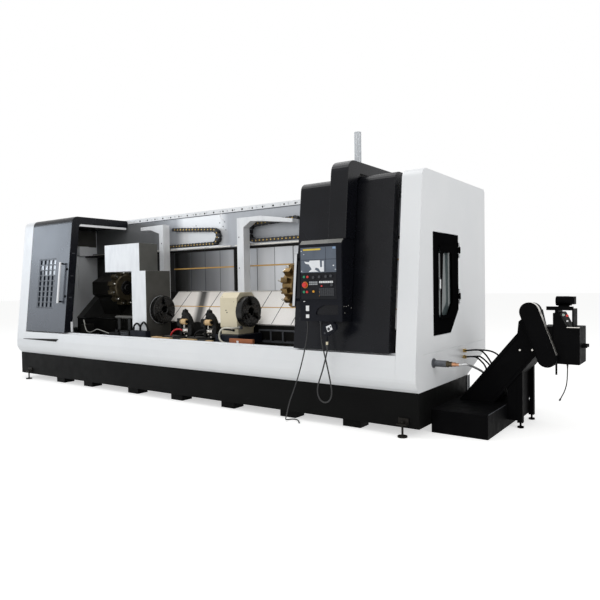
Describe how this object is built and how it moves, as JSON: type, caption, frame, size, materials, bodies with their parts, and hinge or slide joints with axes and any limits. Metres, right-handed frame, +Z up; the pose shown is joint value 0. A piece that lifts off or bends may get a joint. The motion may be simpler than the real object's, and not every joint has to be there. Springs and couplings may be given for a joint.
{
  "type": "twin-spindle lathe",
  "caption": "Large CNC slant-bed lathe with facing spindles, tool turrets, sliding hoods, hanging control box and a chip conveyor.",
  "frame": {"origin": "floor level, under the middle of the machine's outline without its two loose cables", "axes": "+X along the spindles towards the chip conveyor, +Y from the operator's side to the back, +Z up"},
  "size_m": [7.93, 2.16, 2.907],
  "materials": {
    "white_paint": "satin cool white enamel",
    "black_paint": "semi-gloss black enamel",
    "base_black": "fine-textured black paint",
    "grey_paint": "satin grey paint over sheet metal",
    "cream_paint": "satin warm beige paint",
    "cream_cover": "smooth cream way covers",
    "brushed_steel": "brushed stainless sheet",
    "bright_steel": "polished",
    "cast_iron": "machined and oiled",
    "chuck_steel": "blackened, oiled steel",
    "bronze": "oiled bronze-coloured tool holders",
    "window_glass": "tinted polycarbonate",
    "screen_glass": "glossy display, switched off",
    "dark_plastic": "matt moulded plastic",
    "white_plastic": "glossy white",
    "clear_plastic": "translucent lamp lens",
    "cable_rubber": "matt black sheath"
  },
  "bodies": {
    "machine": {"base_tray": "base_black", "levelling_foot_front_left": "brushed_steel", "levelling_foot_front_right": "brushed_steel", "levelling_foot_rear_left": "brushed_steel", "levelling_foot_rear_right": "brushed_steel", "front_apron": "white_paint", "left_end_panel": "white_paint", "right_enclosure": "white_paint", "rear_housing": "white_paint", "upper_panel": "white_paint", "top_rail": "white_paint", "cover_frame": "cast_iron", "way_cover_left": "brushed_steel", "way_cover_right": "brushed_steel", "slant_bed": "cast_iron", "slant_cover": "cream_cover", "lower_bed": "cast_iron", "headstock_1": "grey_paint", "headstock_1_cover": "grey_paint", "turret_1_body": "cast_iron", "turret_2_body": "cast_iron", "steady_rest_1": "cast_iron", "steady_rest_2": "cast_iron", "bracket_1": "white_paint", "bracket_2": "white_paint", "energy_chain_1": "dark_plastic", "energy_chain_2": "dark_plastic", "control_arm": "black_paint", "control_box": "black_paint", "control_screen": "screen_glass", "key_panel": "dark_plastic", "handwheel_unit": "dark_plastic", "light_tower": "clear_plastic", "floor_cable": "cable_rubber", "handwheel_cable": "cable_rubber", "coolant_fitting": "bright_steel", "conveyor_tank": "base_black", "conveyor_incline": "base_black", "conveyor_legs": "base_black", "chain_guard": "base_black", "motor_bracket": "base_black", "conveyor_motor": "base_black", "conveyor_cabinet": "base_black", "conveyor_lead": "cable_rubber"},
    "left_hood": {"left_hood": "black_paint", "left_window_grille": "black_paint", "left_window_glass": "window_glass", "left_hood_handle": "white_plastic", "left_hood_light": "white_plastic"},
    "right_hood": {"right_hood": "black_paint", "right_hood_handle": "bright_steel"},
    "headstock_2": {"headstock_2": "cream_paint", "headstock_2_saddle": "cast_iron"},
    "chuck_1": {"chuck_1": "chuck_steel"},
    "chuck_2": {"chuck_2": "chuck_steel"},
    "turret_1": {"turret_1_disc": "bronze"},
    "turret_2": {"turret_2_disc": "bronze"},
    "end_door": {"end_door": "black_paint", "end_door_glass": "window_glass", "end_door_handle": "white_plastic"}
  },
  "joints": [
    {"name": "left_hood_slide", "type": "slide", "parent": "machine", "child": "left_hood", "axis": [1, 0, 0], "range_m": [0, 1.95]},
    {"name": "right_hood_slide", "type": "slide", "parent": "machine", "child": "right_hood", "axis": [-1, 0, 0], "range_m": [0, 1.95]},
    {"name": "headstock_2_slide", "type": "slide", "parent": "machine", "child": "headstock_2", "axis": [1, 0, 0], "range_m": [-0.05, 0.35]},
    {"name": "chuck_1_spin", "type": "hinge", "parent": "machine", "child": "chuck_1", "pos_m": [-1.245, -0.335, 1.08], "axis": [1, 0, 0], "continuous": true},
    {"name": "chuck_2_spin", "type": "hinge", "parent": "headstock_2", "child": "chuck_2", "pos_m": [0.29, -0.335, 1.08], "axis": [1, 0, 0], "continuous": true},
    {"name": "turret_1_index", "type": "hinge", "parent": "machine", "child": "turret_1", "pos_m": [-2.415, -0.115, 1.385], "axis": [1, 0, 0], "continuous": true},
    {"name": "turret_2_index", "type": "hinge", "parent": "machine", "child": "turret_2", "pos_m": [0.985, -0.115, 1.385], "axis": [1, 0, 0], "continuous": true},
    {"name": "end_door_hinge", "type": "hinge", "parent": "machine", "child": "end_door", "pos_m": [2.771, 0.155, 0.896], "axis": [0, 0, 1], "range_deg": [0, 70]}
  ]
}
